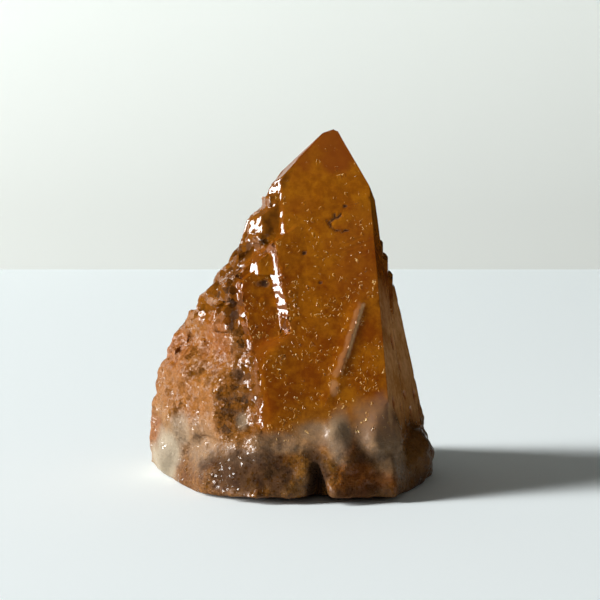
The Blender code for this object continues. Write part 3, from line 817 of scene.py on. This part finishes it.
# %% [markdown]
# ## Stains, veils and marks
# Over the body's colour come the rust, the milky veils, the dark patches with the painted
# shade of the notch, holes and dents, and the marks on the front, among them the bar's
# veil with its painted sheen and its rim's painted highlight, one after the other, each by
# its own share. The hillocks come last, since they lie on top: their caps are painted a
# lighter honey that hides the shaded side of their bump, and their lit rims are painted
# golden highlights.

# %% Colours of the stains, painted shade and painted highlights
RUST = "#8a4210"
MILK = "#9a8c76"
# The veil colour is partly veil and, on the bar, partly painted sheen.
VEIL_AND_SHEEN = "#c08a5e"
NEAR_BLACK = "#241206"
# The rim colour is the bar's painted highlight, and the gold is the hillocks' painted glints.
PAINTED_RIM_HIGHLIGHT = "#e6bb88"
PAINTED_GLINT_GOLD = "#ffd48a"

# Near black darkens the dark stone and the crack, and paints the shade in the notch, holes and
# dents.
most_dark = add("Math", MULTIPLY, stored["dark"], 0.85)
# The caps get a lighter honey that hides the shaded side of their bump, and the lit rims get
# painted golden highlights.
cap_lightening = add("MapRange", PLAIN, cap, 0.0, 0.12, 0.0, 0.25)
most_glint_rim = add("Math", MULTIPLY, glint_rim, 0.8)
for stain_share, hex_value in (
    (stored["rusty"], RUST),
    (stored["milky"], MILK),
    (stored["veiled"], VEIL_AND_SHEEN),
    (most_dark, NEAR_BLACK),
    (stored["bright_rim"], PAINTED_RIM_HIGHLIGHT),
    (cap_lightening, HONEY),
    (most_glint_rim, PAINTED_GLINT_GOLD),
):
    body = add("Mix", BLEND, stain_share, body, colour(hex_value))
print("stains and marks mixed")

# %% [markdown]
# ## Sugar and tilted steps
# The worn flank and the break are sugary: calcite splits into grains whose faces all lean
# differently. Each cell of a Voronoi pattern becomes one such face. Its random colour is
# read as a lean, and the lean times the way from the cell's seed is a height, so the cell
# is a flat tilted facet. Real grains run from dust to half a millimetre, and these are
# 0.42 mm, near the coarse end, because finer ones wouldn't show. The steps on the flank
# are the same thing at 1.3 mm, their real size. A noise bump would give crumpled foil
# instead, because it has no flat faces that mirror as one.

# %% Tilted facets
SPARKLE_GRAIN = 0.42 * MM
STEP_FACET = 1.3 * MM

cells, slope = {}, {}
for name, size in (("grain", SPARKLE_GRAIN), ("step", STEP_FACET)):
    cells[name] = add("TexVoronoi", PLAIN, Vector=place, Scale=1 / size)
    lean = add("VectorMath", SUBTRACT, cells[name].outputs["Color"], MIDDLE)
    within = add("VectorMath", SUBTRACT, place, cells[name].outputs["Position"])
    slope[name] = add("VectorMath", DOT, lean, within)
print("facets of", SPARKLE_GRAIN / MM, "and", STEP_FACET / MM, "mm")

# %% [markdown]
# The foot is sandier on the left. The milky corner broke smooth, so it gets little sugar.
# All the fine heights are added up into one bump, in metres, as far as each share says.
# The tilted steps are the tallest, at up to half a millimetre.

# %% Fine relief as a bump
SUGAR_GRAIN = 0.8 * MM
FLANK_GRAIN = 2.0 * MM

sandy = add("MapRange", PLAIN, stored["far"], 0.0, 1.0, 0.3, 0.75)
sandy_foot = add("Math", MULTIPLY, stored["foot"], sandy)
some_worn = add("Math", MULTIPLY, stored["worn"], 0.45)
sugary = add("Math", LARGER, some_worn, sandy_foot)
for name, full, left_over in (("milky", 1.0, 0.15), ("dark", 0.7, 0.8)):
    kept = add("MapRange", PLAIN, stored[name], 0.0, full, 1.0, left_over)
    sugary = add("Math", MULTIPLY, sugary, kept)

sugar = add("TexNoise", PLAIN, Vector=place, Scale=1 / SUGAR_GRAIN, Detail=3.0)
rounded_steps = add("TexNoise", PLAIN, Vector=place, Scale=1 / FLANK_GRAIN, Detail=2.0)
steep = add("MapRange", PLAIN, turn, 0.75, 0.85, 0.16, 0.5)
relief = 0.0
for pattern, pattern_share, tall in (
    (sugar, sugary, 0.3 * MM),
    (slope["grain"], sugary, 1.1),
    (rounded_steps, stored["flank"], 0.12 * MM),
    (slope["step"], stored["tilted"], 1.5),
    (cap, steep, HILLOCK_CELL),
):
    part = add("Math", MULTIPLY, add("Math", MULTIPLY, pattern, pattern_share), tall)
    relief = add("Math", ADD, part, relief)
bump = add("Bump", PLAIN, Strength=1.0, Distance=1.0, Height=relief)
print("fine relief added up")

# %% [markdown]
# ## Gloss
# A dull surface spreads the window's reflection into a pale haze, and a polished one
# gathers it into small bright glints. The clear faces and the tilted steps are nearly
# polished. On the worn flank and the foot most grains are dull, and about one in seven is
# polished, so it glints when it happens to face the light.

# %% How dull each place is
POLISHED_GRAINS = 0.15

grain_dice = add("SeparateColor", PLAIN, cells["grain"].outputs["Color"])
mixed = add("Math", {"operation": "FRACT"}, add("Math", MULTIPLY, grain_dice.outputs["Blue"], 7.0))
dull_grain = add("Math", {"operation": "GREATER_THAN"}, mixed, POLISHED_GRAINS)
duller_left = add("MapRange", PLAIN, stored["far"], 0.2, 1.0, 0.2, 0.7)
dull_flank = add("Math", MULTIPLY, stored["worn"], duller_left)
dull = add("Math", MULTIPLY, add("Math", LARGER, dull_flank, sandy_foot), dull_grain)
not_tilted = add("MapRange", PLAIN, stored["tilted"], 0.0, 0.9, 1.0, 0.25)
dull = add("Math", MULTIPLY, dull, not_tilted)
dull_right = add("Math", MULTIPLY, stored["right"], 0.08)
dull_dark = add("MapRange", PLAIN, stored["dark"], 0.1, 0.7)
dull_dark = add("Math", MULTIPLY, dull_dark, dull_grain)
dull = add("Math", LARGER, add("Math", LARGER, dull, dull_right), dull_dark)
dull = add("Math", ADD, dull, add("Math", MULTIPLY, fleck_share, 0.03))
roughness = add("MapRange", PLAIN, dull, 0.0, 1.0, 0.07, 0.9)
print("gloss worked out")

# %% [markdown]
# ## Put the finish together
# The index of refraction is calcite's. The specular level starts from the usual 0.5 and
# is lowered, because so many small facets would otherwise add up to a white veil. The
# inside is plain absorption: red light crosses about two centimetres of it, and blue is
# lost within one, so thin places glow amber and thick ones are brown.

# %% Calcite's own values
CALCITE_IOR = 1.6
SPECULAR_LEVEL = 0.17
INSIDE_AMBER = "#d9822b"
INSIDE_DENSITY = 150.0

cloudy = add("Math", LARGER, stored["foot"], stored["worn"])
clear = add("MapRange", PLAIN, cloudy, 0.0, 1.0, 0.22, 0.05)
shader = add(
    "BsdfPrincipled",
    PLAIN,
    Base_Color=body,
    Roughness=roughness,
    Transmission_Weight=clear,
    Normal=bump,
    IOR=CALCITE_IOR,
    Specular_IOR_Level=SPECULAR_LEVEL,
)
inside = add("VolumeAbsorption", PLAIN, colour(INSIDE_AMBER), INSIDE_DENSITY)
add("OutputMaterial", PLAIN, Surface=shader, Volume=inside)

skin.data.materials.clear()
skin.data.materials.append(stone)
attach(skin, "root")
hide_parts("calcite_crystal")
print("finish of", len(stone_tree.nodes), "nodes on", skin.name)

# %% [markdown]
# ## The table and the wall
# A pale table runs back to a pale wall that stands about 25 cm behind it, so the wall
# throws little light on the table's far end. Both are matt, and the wall glows a little, as a
# wall does that other light reaches too. The table's far edge turns down in a small
# curve, which keeps the line between table and wall soft.

# %% Table and wall
HALF_WIDTH = 2.6
# Outlines seen from the side: metres back and up.
TABLE_PROFILE = ((-1.5, 0.0), (0.34, 0.0), (0.343, -0.0006), (0.3448, -0.0022), (0.3452, -0.03))
WALL_PROFILE = ((0.6, -0.12), (0.6, 0.26))
TABLE_PALE = "#f2fafb"
WALL_PALE = "#ecf1ec"
WALL_GLOW = 0.07


def plain_finish(name, hex_value, glow=0.0):
    """A matt finish that mirrors nothing and may glow a little."""
    made, tree = new_finish(name)
    look = {"Base_Color": colour(hex_value), "Emission_Color": colour(hex_value)}
    look.update(Roughness=0.9, Specular_IOR_Level=0.0, Emission_Strength=glow)
    shader = add_node(tree, "BsdfPrincipled", PLAIN, **look)
    add_node(tree, "OutputMaterial", PLAIN, Surface=shader)
    return made


def stage_sheet(name, corners, faces, finish):
    """A sheet of the stage, which is not part of the object."""
    mesh = bpy.data.meshes.new(name)
    mesh.from_pydata(corners, [], faces)
    for face in mesh.polygons:
        face.use_smooth = True
    made = bpy.data.objects.new(name, mesh)
    bpy.context.scene.collection.objects.link(made)
    mesh.materials.append(finish)
    return made


def long_sheet(name, profile, hex_value, glow=0.0):
    """A sheet as wide as the studio, from its outline seen from the side."""
    corners = [(x, y, z) for y, z in profile for x in (-HALF_WIDTH, HALF_WIDTH)]
    faces = [(2 * i, 2 * i + 1, 2 * i + 3, 2 * i + 2) for i in range(len(profile) - 1)]
    return stage_sheet(name, corners, faces, plain_finish("matt " + name, hex_value, glow))


long_sheet("pale table", TABLE_PROFILE, TABLE_PALE)
long_sheet("pale wall", WALL_PROFILE, WALL_PALE, glow=WALL_GLOW)
print("table and wall set")

# %% [markdown]
# ## The dark card
# A dark card stands out of sight on the right. Only mirror reflections see it. It keeps
# the right-hand crystal face from turning white, as a black flag does in a studio.

# %% Dark card
CARD_LOW, CARD_HIGH = 0.002, 1.2
CARD_BLACK = "#15110d"


def dark_card():
    """A sheet just over the table and a tall one at its back, for reflections only."""
    near = [(0.04, 0.03, CARD_LOW), (1.5, 0.03, CARD_LOW)]
    far = [(0.1, 0.33, CARD_LOW), (1.5, 0.33, CARD_LOW)]
    top = [(x, y, CARD_HIGH) for x, y, _ in far]
    faces = [(0, 1, 3, 2), (2, 3, 5, 4)]
    black = plain_finish("matt black card", CARD_BLACK)
    card = stage_sheet("dark_card", near + far + top, faces, black)
    card.visible_camera = False
    card.visible_diffuse = False
    card.visible_transmission = False
    card.visible_shadow = False
    return card


print("stood up", dark_card().name)

# %% [markdown]
# ## The light
# A tall, narrow window stands far out on the left, a little in front, and is the only
# strong light, so the right side falls into shade and the shadow lies to the right. The
# room behind the camera is dim.

# %% Window and room
WINDOW_PLACE = (-2.12, -0.28, 0.79)
WINDOW_WIDTH, WINDOW_HEIGHT = 0.5, 1.52
WINDOW_WATTS = 122.0
WINDOW_AIM = (0.0, 0.0, 0.04)
ROOM_GREY = "#c9c6c0"
ROOM_STRENGTH = 0.15


def aim(thing, target):
    """Turns a lamp or a camera to look at a place."""
    thing.rotation_euler = (Vector(target) - thing.location).to_track_quat("-Z", "Y").to_euler()


lamp = bpy.data.lights.new("window", "AREA")
lamp.shape = "RECTANGLE"
lamp.size = WINDOW_WIDTH
lamp.size_y = WINDOW_HEIGHT
lamp.energy = WINDOW_WATTS
window = bpy.data.objects.new("window", lamp)
window.location = WINDOW_PLACE
bpy.context.scene.collection.objects.link(window)
aim(window, WINDOW_AIM)

room = bpy.data.worlds.new("dim room")
room.use_nodes = True
room.node_tree.nodes["Background"].inputs["Color"].default_value = colour(ROOM_GREY)
room.node_tree.nodes["Background"].inputs["Strength"].default_value = ROOM_STRENGTH
bpy.context.scene.world = room
bpy.context.scene.view_settings.view_transform = "Standard"
print("window of", WINDOW_WATTS, "W and a dim room")

# %% [markdown]
# ## The camera
# A long lens about 35 cm away, looking down by 8 degrees, keeps the point's sides from
# splaying.

# %% Camera
CAMERA_TARGET = Vector((1.6, 0.0, 35.6)) * MM
CAMERA_DISTANCE = 350.0 * MM
CAMERA_RISE = math.radians(8.0)
back_and_up = Vector((0.0, -math.cos(CAMERA_RISE), math.sin(CAMERA_RISE)))

lens = bpy.data.cameras.new("camera")
lens.lens = 105.6
lens.sensor_width = 36.0
camera = bpy.data.objects.new("camera", lens)
camera.location = CAMERA_TARGET + CAMERA_DISTANCE * back_and_up
bpy.context.scene.collection.objects.link(camera)
aim(camera, CAMERA_TARGET)
bpy.context.scene.camera = camera
print("camera at", camera.location)
